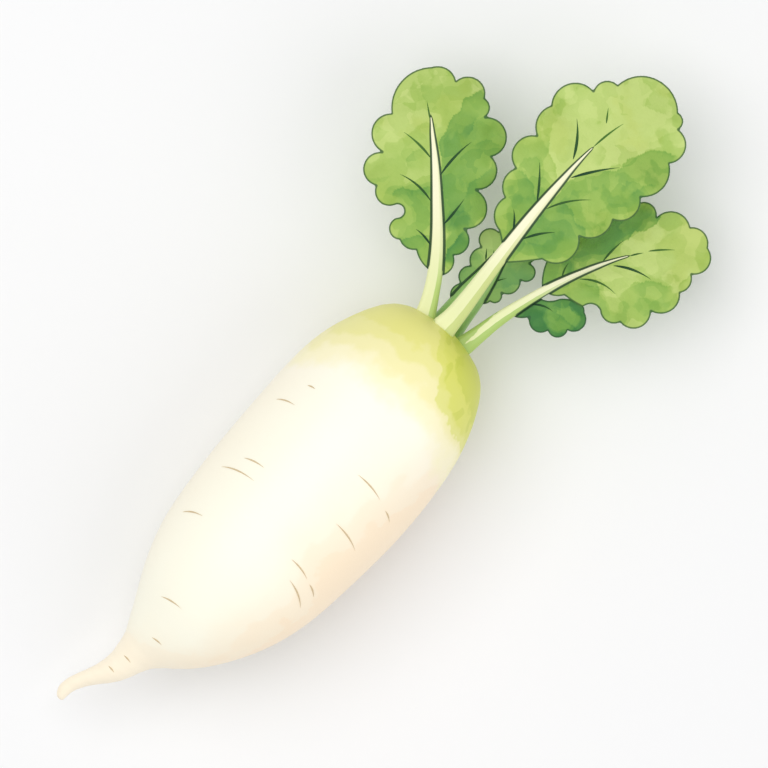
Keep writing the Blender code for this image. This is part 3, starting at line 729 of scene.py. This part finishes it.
# Each blade in millimetres, along and across its leaf.
# margin: the crown and notch of each lobe by turns, from the right side round the tip to the left. A lobe is
# an arc from notch to notch over its crown. The first and the last notch, start and end, are at the midrib.
# washes: middle, half length and half width, turn in degrees, tone from 0, light, to 1, dark, and crispness.
# wash edges: darkness, how far it fades, and the points of an edge, which has the dark on its right.
# ripple: height and length. phase: where the ripple starts. lowered: how far it hangs under its midrib.
# veins: start and end, bow as a share of the length, half width, and paleness.
BLADES = {
    "leaf_left_blade": {
        "leaf": "left",
        "slot": "leaf_green",
        "starts": 18.5,
        "ends": 20.5,
        "margin": (
            (24.5, -13.3), (28.3, -13), (33.2, -20), (40.8, -17.9), (49.5, -28.4), (59.4, -23),
            (67.2, -32.6), (75.2, -29.8), (84.9, -37), (93.9, -26.5), (99, -28.6), (102.9, -26.1),
            (112.1, -22.8), (111.2, -12.4), (116.8, -8.6), (117.8, -1), (110, 14), (94.9, 17.9),
            (88.5, 26.7), (76.5, 22), (68, 30.8), (60.3, 24.5), (52.7, 22.8), (51.5, 15.3), (49.2, 11),
            (45.6, 14.3), (41, 18), (35.1, 12.8), (32, 10.6), (30.5, 4.9), (26.2, 3.2),
        ),
        "tone": 0.18,
        "washes": (
            (98, 10, 17, 9, -9, 0.11, 2), (82, -22, 18, 12, -60, 0.33, 2), (58, -17, 18, 10, -80, 0.40, 2),
            (52, -24, 7, 6, -89, 0.46, 3), (33, -15, 10, 6, -29, 0.56, 3), (50, 8, 11, 9, -89, 0.46, 2),
            (33, 4, 9, 6, 46, 0.38, 3), (67, 24, 9, 7, -89, 0.22, 3), (109, -4, 10, 7, 31, 0.13, 3),
            (74, 10, 14, 8, -60, 0.24, 3), (46, -15, 8, 6, -60, 0.54, 3),
        ),
        "wash_edges": (
            (0.27, 22, (40, -8), (55, -7), (71, -6), (82, -5), (87, -8), (93, -11), (97, -14), (102, -17),
             (105, -20), (108, -27)),
            (0.16, 9, (95, -24), (89, -21), (83, -18)), (0.12, 9, (81, -20), (83, -25), (83, -30), (80, -35)),
            (0.16, 8, (55, -18), (61, -19), (66, -25), (70, -29), (75, -31)),
            (0.10, 7, (44, -8), (49, -13), (50, -18), (45, -22)),
            (0.38, 10, (24, -8), (31, -10), (35, -14), (40, -18)),
            (0.20, 10, (54, 17), (58, 16), (60, 12), (59, 5), (61, -2)),
            (0.12, 8, (68, 11), (73, 10), (77, 7), (79, 1)),
            (0.07, 14, (98, 2), (104, 4), (111, 5), (117, 6)),
            (0.20, 8, (32, 14), (36, 9), (38, 4), (38, -2)), (0.07, 9, (62, 32), (64, 25), (65, 16)),
        ),
        "ripple": (3, 31),
        "phase": 0.4,
        "veins": (
            (73.7, -1.4, 87.1, 13.7, -0.05, 0.55, 0.40), (53.2, -1.9, 67.1, 16.1, -0.09, 0.52, 0.15),
            (32.8, -1.9, 41.2, 6.6, -0.07, 0.52, 0), (65.7, -5.6, 84.1, -22.9, 0.05, 0.60, 0.05),
            (42.5, -7.6, 56.5, -18.3, -0.02, 0.60, 0), (91.5, -0.6, 103.1, 1.6, 0, 0.36, 0.45),
        ),
    },
    "leaf_middle_blade": {
        "leaf": "middle",
        "slot": "leaf_green",
        "starts": 39.6,
        "ends": 45.4,
        "margin": (
            (45.5, -5.2), (54, -12.7), (63.6, -22.6), (73.6, -18.5), (81.1, -26.1), (90.2, -25.2),
            (98.1, -31.2), (106.7, -27.6), (118.4, -32.7), (128.1, -27.2), (137.9, -28.6), (143, -19.6),
            (147.7, -18.5), (149, -14.2), (154.1, 4.6), (139.4, 15.9), (137.5, 20.9), (129.4, 22.5),
            (124.4, 33.4), (110.9, 32.7), (104.4, 34.2), (95.5, 28.2), (88.2, 33.1), (77.5, 25.4),
            (70.4, 26.3), (63.8, 20.1), (55.2, 19), (50.6, 11.7), (48.8, 9),
        ),
        "tone": 0.20,
        "washes": (
            (120, 3, 29, 18, -3, 0.06, 2), (120, -24, 12, 9, -58, 0.28, 3), (96, -14, 20, 10, -33, 0.37, 3),
            (69, 12, 13, 10, 7, 0.50, 3), (85, 23, 10, 7, 12, 0.20, 3), (99, 16, 16, 5, 27, 0.08, 4),
            (61, -6, 13, 9, -48, 0.42, 3), (66, -19, 7, 6, -48, 0.30, 4), (84, -20, 10, 8, -48, 0.34, 3),
            (54, 12, 9, 5, 12, 0.46, 3), (137, -20, 7, 5, -48, 0.13, 4),
        ),
        "wash_edges": (
            (0.25, 16, (42, 0), (54, 1), (74, 2), (90, 3), (100, -3), (106, -8), (111, -12), (116, -11),
             (121, -13), (126, -16), (130, -21), (134, -28)),
            (0.17, 10, (77, 26), (79, 21), (78, 17), (77, 13), (72, 7)),
            (0.16, 12, (100, 24), (94, 18), (90, 12), (86, 6)),
            (0.10, 6, (114, 4), (113, 0), (107, -3), (103, -4)),
            (0.17, 10, (80, -1), (81, -8), (78, -12), (78, -18), (74, -22)),
            (0.14, 6, (103, -23), (107, -24), (112, -24), (116, -30)),
            (0.10, 14, (145, -12), (143, -5), (141, 0), (144, 2), (148, 1), (149, 6), (151, 11)),
            (0.07, 8, (126, -16), (130, -14), (135, -16), (143, -20)),
            (0.08, 9, (107, 27), (111, 31), (116, 31), (122, 28), (128, 31)),
            (0.10, 5, (140, -13), (143, -12), (150, -15)), (0.12, 5, (53, -1), (57, -4), (60, -10)),
            (0.08, 7, (77, 25), (83, 26), (88, 22), (87, 15)),
            (0.06, 12, (79, -26), (82, -20), (89, -17), (96, -20), (102, -26)),
        ),
        "ripple": (3.2, 36),
        "phase": 1.2,
        "veins": (
            (98.4, 7.8, 116, 21.5, -0.06, 0.68, 0.10), (72.1, 7, 88.9, 20.6, -0.03, 0.58, 0.10),
            (54.9, 6.6, 63.3, 14.2, -0.06, 0.52, 0), (121.8, 7.5, 129.2, 12.6, 0, 0.42, 0.50),
            (91.2, 3.2, 112.4, -12.6, 0.03, 0.64, 0), (72.5, 2, 91.8, -13.2, 0.07, 0.50, 0.25),
            (54.6, 0.7, 69.4, -11, 0.06, 0.58, 0.05), (109.5, 4.8, 130.4, 0.7, 0.03, 0.48, 0.55),
        ),
    },
    "leaf_right_blade": {
        "leaf": "right",
        "slot": "leaf_green",
        "starts": 45,
        "ends": 43.7,
        "margin": (
            (48.5, 5.2), (52.5, 4), (55.2, -0.4), (58.6, -4.6), (62.7, -4.7), (65.3, -9.1), (66.5, -15.5),
            (72, -17.8), (79.1, -23.7), (87.8, -18.6), (97.5, -21.8), (103.9, -15.7), (110.2, -14.1),
            (112.5, -9.7), (122.7, -8.5), (124.8, -0.9), (125.3, 7.9), (120.6, 11.4), (117.9, 19.9),
            (107.4, 21.9), (107.5, 28.3), (101.8, 31.4), (92.2, 33.7), (84.5, 29.9), (74.5, 31.7),
            (65.9, 27.6), (55.9, 27.5), (50.5, 22), (46.8, 17.4),
        ),
        "tone": 0.12,
        "washes": (
            # The first two washes, on the side towards the middle leaf, are partly painted shadow that the
            # middle leaf casts, and partly the blade's own darker green.
            (80, 26, 26, 9, 4, 0.40, 3), (53, 14, 8, 7, 38, 0.64, 3), (102, -1, 22, 16, -22, 0.12, 2),
            (60, 3, 12, 8, -52, 0.42, 3), (88, -14, 14, 7, -32, 0.34, 3), (69, -12, 9, 7, -22, 0.40, 3),
            (122, -4, 5, 11, -22, 0.34, 3), (114, 18, 8, 5, -30, 0.20, 3),
        ),
        "wash_edges": (
            # The first edge bounds that painted shadow, with the shadow on its side towards the middle leaf.
            (0.32, 24, (110, 24), (106, 19), (101, 18), (96, 19), (90, 17), (85, 16), (79, 14), (76, 12),
             (66, 11), (56, 11)),
            (0.18, 10, (82, -5), (85, -3), (91, -4), (97, -8), (102, -12)),
            (0.16, 6, (102, -14), (107, -11), (113, -9)),
            (0.07, 14, (99, 10), (105, 11), (109, 12), (114, 14)),
            (0.14, 10, (68, 11), (70, 7), (68, 0), (67, -5)),
            (0.14, 12, (100, 26), (93, 27), (88, 24), (91, 19)),
        ),
        "ripple": (2.8, 30),
        "phase": 0,
        "veins": (
            (75.2, 11.8, 90.2, 17.9, 0.04, 0.50, 0.25), (54.7, 12.2, 61.1, 17.9, 0.08, 0.42, 0.25),
            (79.1, 8.4, 94.7, -6.8, 0.08, 0.60, 0.05), (61.6, 8.6, 76, -7.4, 0.13, 0.50, 0.35),
            (88.4, 9.6, 96, 8.2, 0.02, 0.40, 0.35), (97.2, 8.4, 111.6, 3.1, 0.03, 0.45, 0.45),
        ),
    },
    "leaf_right_leaflet": {
        "leaf": "right",
        "slot": "leaf_dark_green",
        "lowered": 1.8,
        "starts": 25.4,
        "ends": 41,
        "sides": (RIGHT, RIGHT),
        "margin": (
            (29.1, 1.9), (33.2, 0.7), (32.7, -5.9), (38.8, -8.6), (42.4, -13.6), (47.7, -12), (54.6, -13.8),
            (58.3, -7), (59, -5), (57.5, -1.5), (54, 1.5), (49.5, 3.5), (45, 4.3),
        ),
        # The leaflet's dark tone and washes are partly painted shade, as it lies under the blade, and partly
        # its own darker green.
        "tone": 0.93,
        "washes": ((47, -6, 7, 5, -52, 0.54, 4), (47, 3, 5, 3, -22, 0.78, 4)),
        "wash_edges": (
            (0.16, 9, (47, 0), (46, -3), (49, -8), (52, -14)),
            (0.20, 8, (57, -9), (54, -7), (53, -2), (56, 0)),
        ),
        "ripple": (2.8, 30),
        "phase": 0,
        "veins": ((36, 6, 45.2, -2.5, 0.12, 0.50, 0.05),),
    },
    "leaf_inner_blade": {
        "leaf": "inner",
        "slot": "leaf_dark_green",
        "starts": 19,
        "ends": 11.5,
        "margin": (
            (21, -8), (22.8, -8.8), (25.6, -12.3), (29.5, -10.6), (35, -15.6), (39.8, -13.9),
            (47.4, -17), (48.8, -12.3), (57.8, -11.8), (62, -4.9), (65.6, 2.8), (59.7, 7.9), (56.3, 10),
            (51.6, 8.7), (49.6, 13.8), (40.5, 10.8), (35.4, 12.6), (30.5, 9.3), (25.9, 11.7), (21, 7.8),
            (16.6, 9.5),
        ),
        # The inner blade's darker tone is partly painted shade, as it lies behind the middle leaf, and partly
        # its own green.
        "tone": 0.46,
        "washes": (
            (46, 9, 8, 5, 38, 0, 3), (41, -11, 9, 5, -42, 0.52, 4), (25, -9, 6, 4, -52, 0.36, 4),
            (46, -15, 6, 4, -52, 0.60, 4),
        ),
        "wash_edges": (
            (0.18, 10, (44, -19), (39, -17), (36, -12), (30, -9)), (0.16, 8, (40, 12), (40, 8), (36, 4)),
        ),
        "ripple": (1.8, 22),
        "phase": 0.8,
        "veins": (
            (29.4, -3.4, 37.2, -8.7, 0.04, 0.42, 0.15), (36.9, 5, 42.2, 8.6, 0, 0.42, 0.15),
            (38.7, 1.6, 43.9, 5.7, 0, 0.35, 0.2), (41, -2, 51, -10, 0.05, 0.35, 0.2),
        ),
    },
}


def arc_points(start, middle, end):
    """Points of the circle arc from start, over middle, up to but without end."""
    (ax, ay), (bx, by), (cx, cy) = start, middle, end
    twice_area = 2 * (ax * (by - cy) + bx * (cy - ay) + cx * (ay - by))
    squares = ax * ax + ay * ay, bx * bx + by * by, cx * cx + cy * cy
    x = (squares[0] * (by - cy) + squares[1] * (cy - ay) + squares[2] * (ay - by)) / twice_area
    y = (squares[0] * (cx - bx) + squares[1] * (ax - cx) + squares[2] * (bx - ax)) / twice_area
    radius = math.hypot(ax - x, ay - y)
    first, over, last = (math.atan2(py - y, px - x) for px, py in (start, middle, end))
    turn = (last - first) % (2 * math.pi)
    if (over - first) % (2 * math.pi) > turn:
        turn -= 2 * math.pi
    count = max(2, round(abs(turn) * radius / MARGIN_STEP))
    angles = first + turn * np.arange(count) / count
    return [(x + radius * math.cos(angle), y + radius * math.sin(angle)) for angle in angles]


def beside_midrib(leaf, along, side):
    middle, half_width = through(leaf["midrib"], along)[0]
    return along, middle + side * half_width / 2


def blade_outline(leaf, blade):
    """The margin, lobe by lobe, and the way back under the midrib."""
    start, end = blade["starts"], blade["ends"]
    start_side, end_side = blade.get("sides", (RIGHT, LEFT))
    corners = [beside_midrib(leaf, start, start_side), *blade["margin"], beside_midrib(leaf, end, end_side)]
    outline = []
    for index in range(0, len(corners) - 2, 2):
        outline += arc_points(*corners[index:index + 3])
    margin = np.array(outline)
    if start_side == end_side:
        way_back = np.linspace(end, start, round(abs(end - start) / MARGIN_STEP))
        return margin, np.vstack([margin, [beside_midrib(leaf, along, end_side) for along in way_back[:-1]]])
    count = round(math.dist(corners[-1], corners[0]) / MARGIN_STEP)
    return margin, np.vstack([margin, np.linspace(corners[-1], corners[0], count)[:-1]])


def within(outline, points):
    above = outline[:, 1] > points[:, None, 1]
    crosses = above != np.roll(above, -1, axis=1)
    step = np.roll(outline, -1, axis=0) - outline
    level = np.where(step[:, 1] == 0, 1.0, step[:, 1])
    meets = outline[:, 0] + (points[:, None, 1] - outline[:, 1]) / level * step[:, 0]
    return (crosses & (points[:, None, 0] < meets)).sum(axis=1) % 2 == 1


def nearest_finder(outline):
    tree = KDTree(len(outline))
    for index, (along, across) in enumerate(outline):
        tree.insert((along, across, 0.0), index)
    tree.balance()
    return tree


def line_distance(start, end, along, across):
    """How far points are from a line, how far along it they lie, from 0 to 1, and which are on its right."""
    run = np.subtract(end, start)
    offset = np.stack([along, across], axis=-1) - start
    t = np.clip(offset @ run / (run @ run), 0.0, 1.0)
    on_right = run[0] * offset[..., 1] < run[1] * offset[..., 0]
    return np.linalg.norm(offset - t[..., None] * run, axis=-1), t, on_right


def blade_height(leaf, blade, along, across):
    """Height over the leaf's foot: the midrib's rise, a shallow fold, ripples, puckers and vein grooves."""
    along, across = np.atleast_1d(along), np.atleast_1d(across)
    offset = across - through(leaf["midrib"], along)[:, 0]
    distance = np.hypot(offset, FOLD_SOFTNESS) - FOLD_SOFTNESS
    height, length = blade["ripple"]
    turn = 2 * math.pi * along / length + blade["phase"] + np.where(offset > 0, LEFT_RIPPLE_PHASE, 0.0)
    ripple = height * np.sin(turn) * np.clip(distance / RIPPLE_REACH, 0, 1) ** RIPPLE_ONSET
    total = through(leaf["rise"], along)[:, 0] + FOLD_SLOPE * distance - MARGIN_DROOP * distance ** 2 + ripple
    for long, broad, level, share in PUCKERS:
        pucker = np.array([noise.noise((x / long, y / broad, level)) for x, y in zip(along, across)])
        total += PUCKER_HEIGHT * share * pucker * np.clip(distance / PUCKER_REACH, 0, 1)
    for vein in blade["veins"]:
        away, t, _ = line_distance(vein[:2], vein[2:4], along * 1000, across * 1000)
        groove = GROOVE_DEPTH * np.exp(-(away / GROOVE_WIDTH) ** 2) * (1 - t)
        total -= groove * np.clip(distance / GROOVE_REACH, 0, 1)
    return total - blade.get("lowered", 0.0) / 1000


def cut_grid(name, outline):
    """A grid whose faces inside the outline are kept, with its edge drawn onto the outline."""
    low, high = outline.min(axis=0) - GRID_STEP, outline.max(axis=0) + GRID_STEP
    count = np.ceil((high - low) / GRID_STEP).astype(int)
    middle = (*(low + high) / 2, 0.0)
    bpy.ops.object.select_all(action="DESELECT")
    bpy.ops.mesh.primitive_grid_add(
        x_subdivisions=int(count[0]), y_subdivisions=int(count[1]), size=1.0, location=middle
    )
    sheet = bpy.context.object
    sheet.name = name
    sheet.scale = (*count * GRID_STEP, 1.0)
    bpy.ops.object.transform_apply(location=True, rotation=True, scale=True)
    centres = np.array([polygon.center[:2] for polygon in sheet.data.polygons])
    outside = ~within(outline, centres)
    for kind in (sheet.data.vertices, sheet.data.edges):
        kind.foreach_set("select", np.zeros(len(kind), bool))
    sheet.data.polygons.foreach_set("select", outside)
    bpy.ops.object.mode_set(mode="EDIT")
    bpy.ops.mesh.select_mode(type="FACE")
    bpy.ops.mesh.delete(type="FACE")
    bpy.ops.object.mode_set(mode="OBJECT")

    shape = bmesh.new()
    shape.from_mesh(sheet.data)
    pinched = True
    while pinched:
        pinched = [vert for vert in shape.verts if sum(edge.is_boundary for edge in vert.link_edges) > 2]
        faces = {face for vert in pinched for face in vert.link_faces}
        bmesh.ops.delete(shape, geom=list(faces), context="FACES")
    nearest = nearest_finder(outline)
    for vert in shape.verts:
        if vert.is_boundary:
            vert.co = nearest.find(vert.co)[0]
    for _ in range(EVENING_ROUNDS):
        inner = [vert for vert in shape.verts if not vert.is_boundary]
        inner = [vert for vert in inner if nearest.find(vert.co)[2] < EVENED_BAND]
        bmesh.ops.smooth_vert(shape, verts=inner, factor=0.5, use_axis_x=True, use_axis_y=True)
    shape.to_mesh(sheet.data)
    shape.free()
    return sheet


def wandering(along, across, sizes):
    """How far each place strays along and across, so that what is drawn there has an uneven edge."""
    stray = 0.0
    for size, reach in sizes:
        spots = [(x / size, y / size, size) for x, y in zip(along, across)]
        stray = stray + np.array([noise.noise_vector(spot)[:2] for spot in spots]) * reach
    return stray.T


def edge_tone(blade, along, across):
    """How much darker it is on the dark side of each wash's edge, where the colour pooled as it dried. One
    edge on the right blade bounds a painted shadow, and its dark side is that shadow.
    """
    along, across = along * 1000, across * 1000
    stray_along, stray_across = wandering(along, across, EDGE_WANDER)
    along, across = along + stray_along, across + stray_across
    total = np.zeros(along.shape)
    for darkness, fade, *points in blade["wash_edges"]:
        lengths = np.hypot(*np.diff(points, axis=0).T)
        passed = np.concatenate([[0.0], np.cumsum(lengths)])
        nearest, reached = np.full(along.shape, np.inf), np.zeros(along.shape)
        dark_side = np.zeros(along.shape, bool)
        for index, (start, end) in enumerate(zip(points, points[1:])):
            away, t, on_right = line_distance(start, end, along, across)
            nearer = away < nearest
            nearest[nearer] = away[nearer]
            reached[nearer] = passed[index] + t[nearer] * lengths[index]
            dark_side[nearer] = on_right[nearer]
        ends = np.clip(np.minimum(reached, passed[-1] - reached) / EDGE_TAPER, 0.0, 1.0)
        gathered = np.exp(-nearest / fade) + GATHERED * np.exp(-(nearest / GATHERED_WIDTH) ** 2)
        total += np.where(dark_side, darkness * gathered * ends, 0.0)
    return total


def wash_tone(blade, along, across):
    """How dark the green is: 0 light, 1 dark. Each wash is a patch that draws the tone in it to its own."""
    along, across = along * 1000, across * 1000
    stray_along, stray_across = wandering(along, across, WASH_WANDER)
    weight = np.full(along.shape, WASH_BASE)
    total = weight * blade["tone"]
    for middle, side, half_length, half_width, turn, tone, crispness in blade["washes"]:
        forward, aside = along - middle + stray_along, across - side + stray_across
        cosine, sine = math.cos(math.radians(turn)), math.sin(math.radians(turn))
        lengthways = (forward * cosine + aside * sine) / half_length
        sideways = (aside * cosine - forward * sine) / half_width
        pull = np.exp(-np.hypot(lengthways, sideways) ** (2 * crispness))
        weight += pull
        total += pull * tone
    return total / weight


def facets(finish):
    """Patches with sharp, uneven edges, each lighter or darker than its neighbours by up to 0.5."""
    noise_sockets = {"Vector": finish.place(), "Scale": FACET_STRAY_SCALE, "Detail": 2.0}
    stray = finish.node("ShaderNodeTexNoise", {}, noise_sockets, 1)
    strayed = {0: stray, 1: FACET_STRAY, 2: finish.place()}
    where = finish.node("ShaderNodeVectorMath", {"operation": "MULTIPLY_ADD"}, strayed)
    cell = finish.node("ShaderNodeTexVoronoi", {}, {"Vector": where, "Scale": 1.0 / FACET_SIZE}, 1)
    return finish.node("ShaderNodeSeparateColor", {}, {0: cell}) - 0.5


def blade_finish(name, coolness):
    """Steps of green with uneven edges over a smooth change of tone, like leaf tissue of uneven thickness.
    Some dark washes are painted shade where a blade lies under another leaf, and a dark line beside the
    midrib is painted shade in the crease.
    """
    finish = Finish(name, roughness=0.52)
    finish.put("Specular IOR Level", 0.3)
    kinds = ("tone", "gathered", "edge", "crease", "under")
    tone, gathered, edge, crease, under = (finish.attribute(kind) for kind in kinds)
    patches = finish.cloud(PATCH_SIZE, 2.0, 0.45, distortion=0.8) - 0.5
    drops = finish.cloud(DROP_SIZE, 3.0, 0.55) - 0.5
    grain = finish.cloud(GRAIN_SIZE, 3.0, 0.7) - 0.5
    washed = tone + patches * PATCH_CONTRAST
    layers = washed * (1 - WASH_SHARE)
    for level in WASH_LEVELS:
        step = (washed + drops * 0.12).rising(level - WASH_SHARPNESS, level + WASH_SHARPNESS)
        layers = layers + step * (WASH_SHARE * WASH_STEP)
    layers = layers + gathered + facets(finish) * FACET_CONTRAST + drops * 0.08 + grain * 0.05
    finish.base(finish.node("ShaderNodeValToRGB", {"stops": LEAF_TONES}, {0: layers}))
    yellow = (finish.cloud(0.030) + drops * 0.3).rising(0.50, 0.66)
    finish.wash(yellow * 0.30, LEAF_YELLOW, "MULTIPLY")
    if coolness:
        finish.wash(coolness, LEAF_COOL)
    finish.wash(under * 0.45, UNDERSIDE)
    finish.wash((1 - edge.rising(0.55, 1.05)) * 0.85, MARGIN_SHADE)
    finish.wash((1 - crease.rising(0.75, 1.10)) * 0.92, CREASE_SHADE)
    cell_sockets = {"Vector": finish.place(), "Scale": 1.0 / CELL_SIZE}
    cells = finish.node("ShaderNodeTexVoronoi", {"feature": "DISTANCE_TO_EDGE"}, cell_sockets)
    finish.relief(cells.rising(0.0, 0.18) * 0.7 + grain * 0.5, 0.00012, 0.45)
    return finish


def vein_stroke(model, leaf, blade, vein):
    start, end = np.array(vein[:2]) / 1000, np.array(vein[2:4]) / 1000
    bow, half_width, paleness = vein[4], vein[5] * VEIN_BREADTH / 1000, vein[6]
    run = end - start
    side = np.array((-run[1], run[0]))
    part, across, up = points_of(model).T[:, :, None]
    aside = bow * 4 * part * (1 - part) + across * half_width / np.linalg.norm(run)
    spots = start + run * part + side * aside
    height = blade_height(leaf, blade, *spots.T) + up[:, 0] * VEIN_HALF_HEIGHT
    stroke = copied(model, np.column_stack([spots, height]))
    set_attribute(stroke, "paleness", np.clip(paleness + VEIN_PALING * part[:, 0] ** 2, 0.0, 1.0))
    return stroke


noise.seed_set(WANDER_SEED)
vein_model = stroke_model("vein_model", VEIN_FULLNESS)
for name, blade in BLADES.items():
    leaf = LEAVES[blade["leaf"]]
    in_metres(blade, "starts", "ends", "margin", "ripple")
    margin, outline = blade_outline(leaf, blade)
    sheet = cut_grid(f"{name}_skin", outline)
    along, across, _ = points_of(sheet).T
    height = blade_height(leaf, blade, along, across)
    set_points(sheet, np.stack([along, across, height], axis=1))
    refined(sheet, "SOLIDIFY", thickness=BLADE_THICKNESS, offset=0.0)
    smoothed(sheet, 1)

    along, across, _ = points_of(sheet).T
    nearest = nearest_finder(margin)
    middle, half_width = through(leaf["midrib"], along).T
    past_end = np.clip(along - leaf["midrib_end"], 0.0, None)
    beside = np.hypot(np.clip(np.abs(across - middle) - half_width, 0.0, None), past_end)
    so_far = along / leaf["midrib_end"]
    line_width = np.clip(CREASE_WIDTH - CREASE_NARROWING * so_far, CREASE_LEAST_WIDTH, None)
    near_end = np.clip(so_far - CREASE_END, 0.0, None) * CREASE_END_FADE
    set_attribute(sheet, "tone", wash_tone(blade, along, across))
    set_attribute(sheet, "gathered", edge_tone(blade, along, across))
    set_attribute(sheet, "edge", [nearest.find((x, y, 0.0))[2] * 1000 for x, y in zip(along, across)])
    set_attribute(sheet, "crease", beside * 1000 / line_width + near_end)
    set_attribute(sheet, "under", [vertex.normal.z < 0 for vertex in sheet.data.vertices])
    set_on_crown(sheet, leaf)
    coolness = INNER_COOLNESS if blade["leaf"] == "inner" else 0.0
    finished(sheet, blade_finish(f"{name}_green", coolness), blade["slot"], name)

    veins = joined(f"{name}_veins", [vein_stroke(vein_model, leaf, blade, vein) for vein in blade["veins"]])
    set_on_crown(veins, leaf)
    dark = Finish(f"{name}_vein_green", roughness=0.6)
    dark.put("Specular IOR Level", 0.2)
    dark.base(paint(VEIN_DARK))
    dark.wash(dark.cloud(0.003), VEIN_GREEN)
    dark.wash(dark.attribute("paleness"), VEIN_PALE)
    dark.relief(dark.cloud(0.0008), 0.0001, 0.4)
    finished(veins, dark, blade["slot"])
bpy.data.objects.remove(vein_model)


# Floor and light
# A plain pale floor, and a large soft light from the side of the left leaf with a weaker one opposite.
FLOOR_SIZE = 24.0
FLOOR_HEIGHT = -0.0002
FLOOR_PALE = "F2F2F2"
FLOOR_DIM = "EFEFF0"
LIGHTS = (  # name, azimuth and elevation in degrees, distance, size, power, colour
    ("key", 100.0, 72.0, 1.8, 1.6, 16.0, (1.0, 0.99, 0.975)),
    ("fill", -80.0, 40.0, 2.0, 2.0, 10.0, (1.0, 0.995, 0.99)),
)
ROOM_COLOUR = (0.98, 0.99, 1.0, 1.0)
ROOM_STRENGTH = 0.62

bpy.ops.object.select_all(action="DESELECT")
bpy.ops.mesh.primitive_plane_add(size=FLOOR_SIZE, location=(0.0, 0.0, FLOOR_HEIGHT))
floor = bpy.context.object
floor.name = "floor"
floor_finish = Finish("floor", roughness=0.9)
floor_finish.base(paint(FLOOR_PALE))
floor_finish.wash(floor_finish.cloud(0.4), FLOOR_DIM)
floor.data.materials.append(floor_finish.material)

for name, azimuth, elevation, away, size, power, colour in LIGHTS:
    azimuth, elevation = math.radians(azimuth), math.radians(elevation)
    level = Vector((math.cos(azimuth), math.sin(azimuth), 0.0)) * math.cos(elevation)
    towards = level + Vector((0.0, 0.0, math.sin(elevation)))
    bpy.ops.object.light_add(type="AREA", location=Vector((*PICTURE_CENTRE, 0.0)) + towards * away)
    light = bpy.context.object
    light.name = name
    light.rotation_euler = towards.to_track_quat("Z", "Y").to_euler()
    light.data.size = size
    light.data.energy = power
    light.data.color = colour
world = bpy.data.worlds.new("room")
world.use_nodes = True
background = world.node_tree.nodes["Background"]
background.inputs["Color"].default_value = ROOM_COLOUR
background.inputs["Strength"].default_value = ROOM_STRENGTH
bpy.context.scene.world = world
bpy.context.scene.view_settings.view_transform = "Standard"
